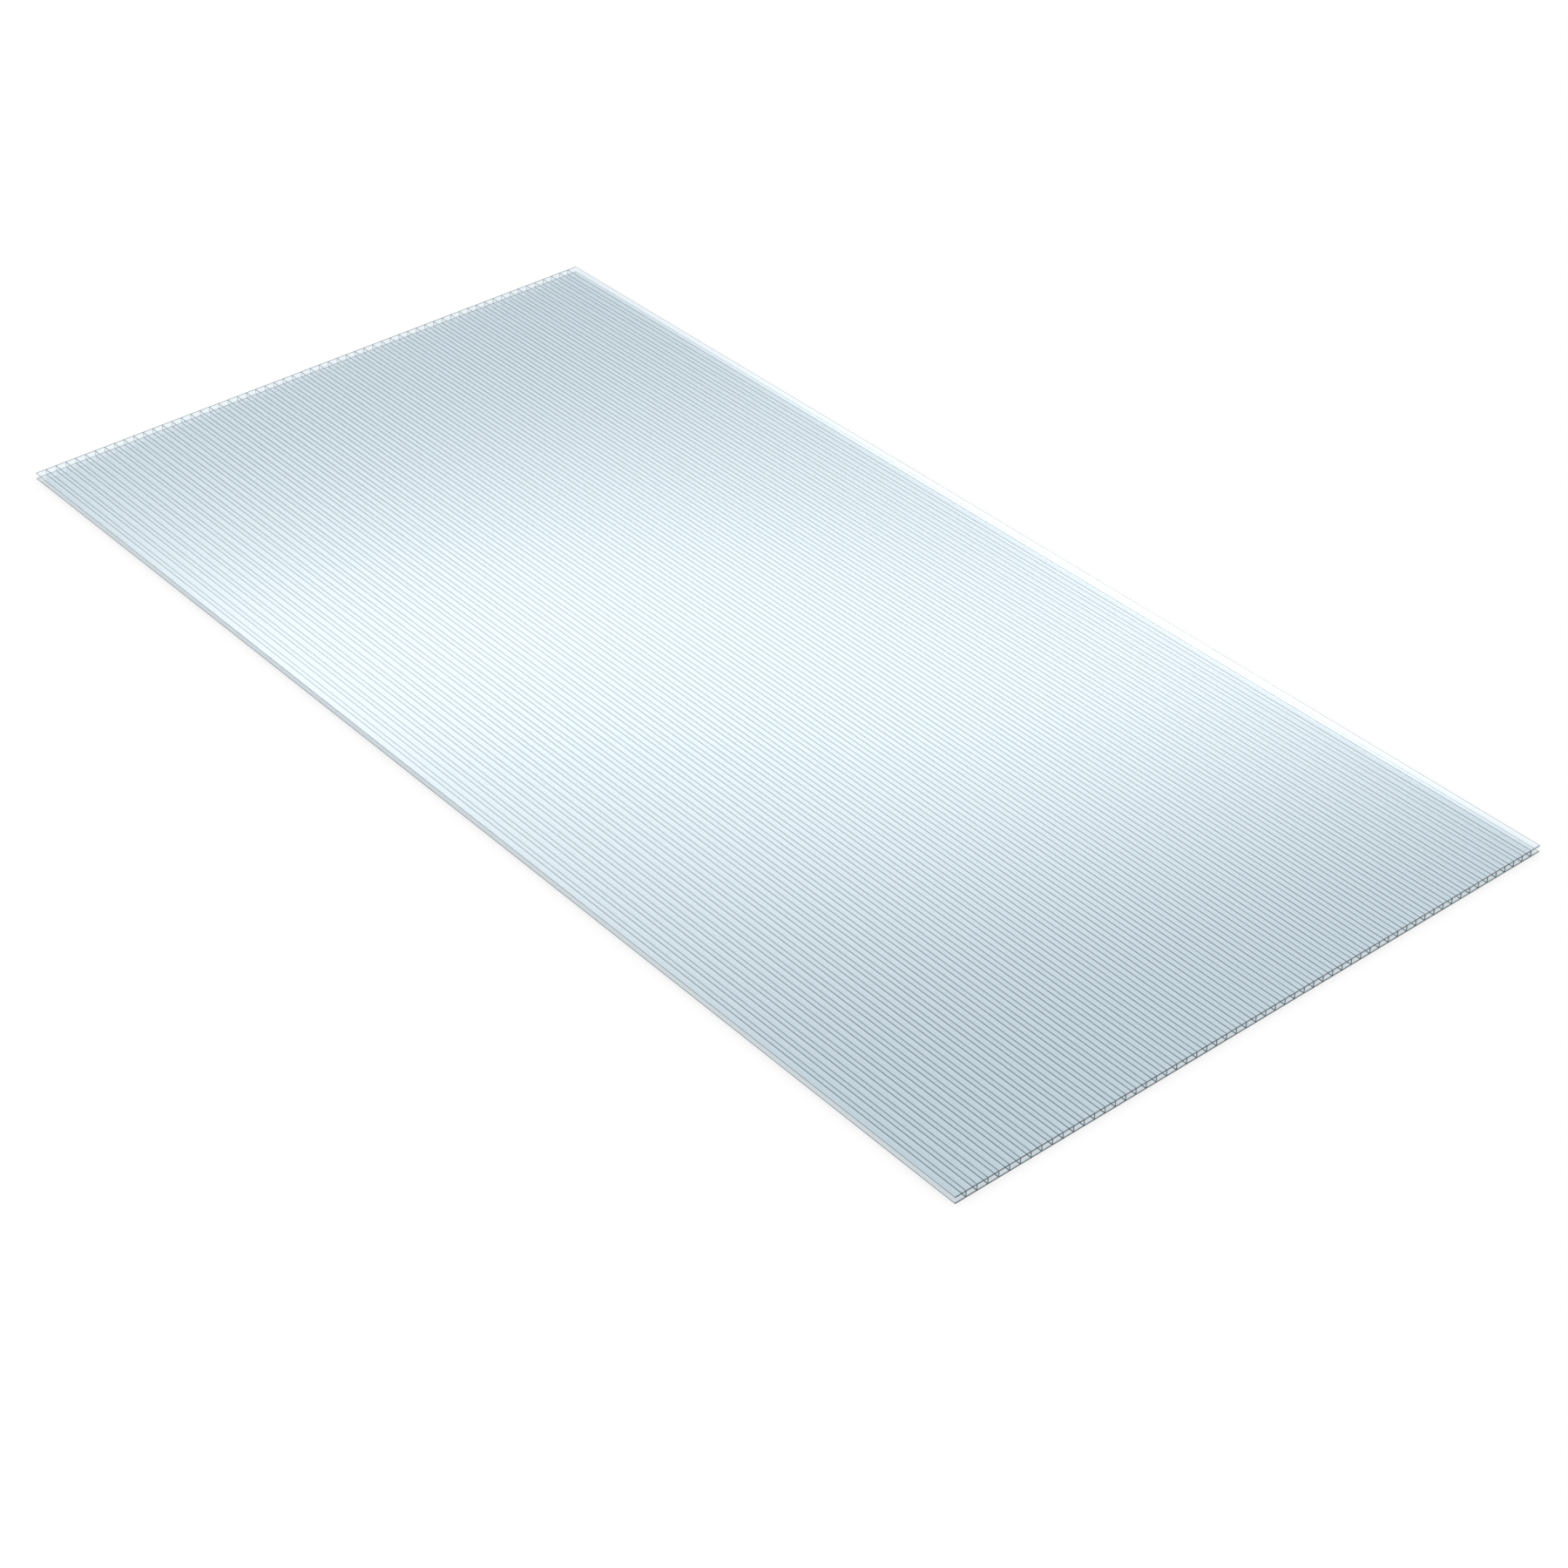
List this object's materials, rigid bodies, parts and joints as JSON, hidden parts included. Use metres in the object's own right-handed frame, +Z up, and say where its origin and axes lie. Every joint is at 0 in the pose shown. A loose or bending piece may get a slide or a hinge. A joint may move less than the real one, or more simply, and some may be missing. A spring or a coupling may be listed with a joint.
{
  "type": "multiwall polycarbonate sheet",
  "caption": "Clear twin-wall polycarbonate glazing sheet: thin flat skins joined by upright webs, with open flutes along its length, sawn square on every side.",
  "frame": {"origin": "centre of the underside of the sheet as it lies flat", "axes": "+Y along the flutes and the sheet's length, +X across the flutes, +Z up through its thickness"},
  "size_m": [0.6, 1.21, 0.006],
  "materials": {
    "polycarbonate": "clear extruded polycarbonate, glossy skins, faint cool blue-grey tint"
  },
  "bodies": {
    "root": {"twinwall_sheet": "polycarbonate"}
  },
  "joints": []
}
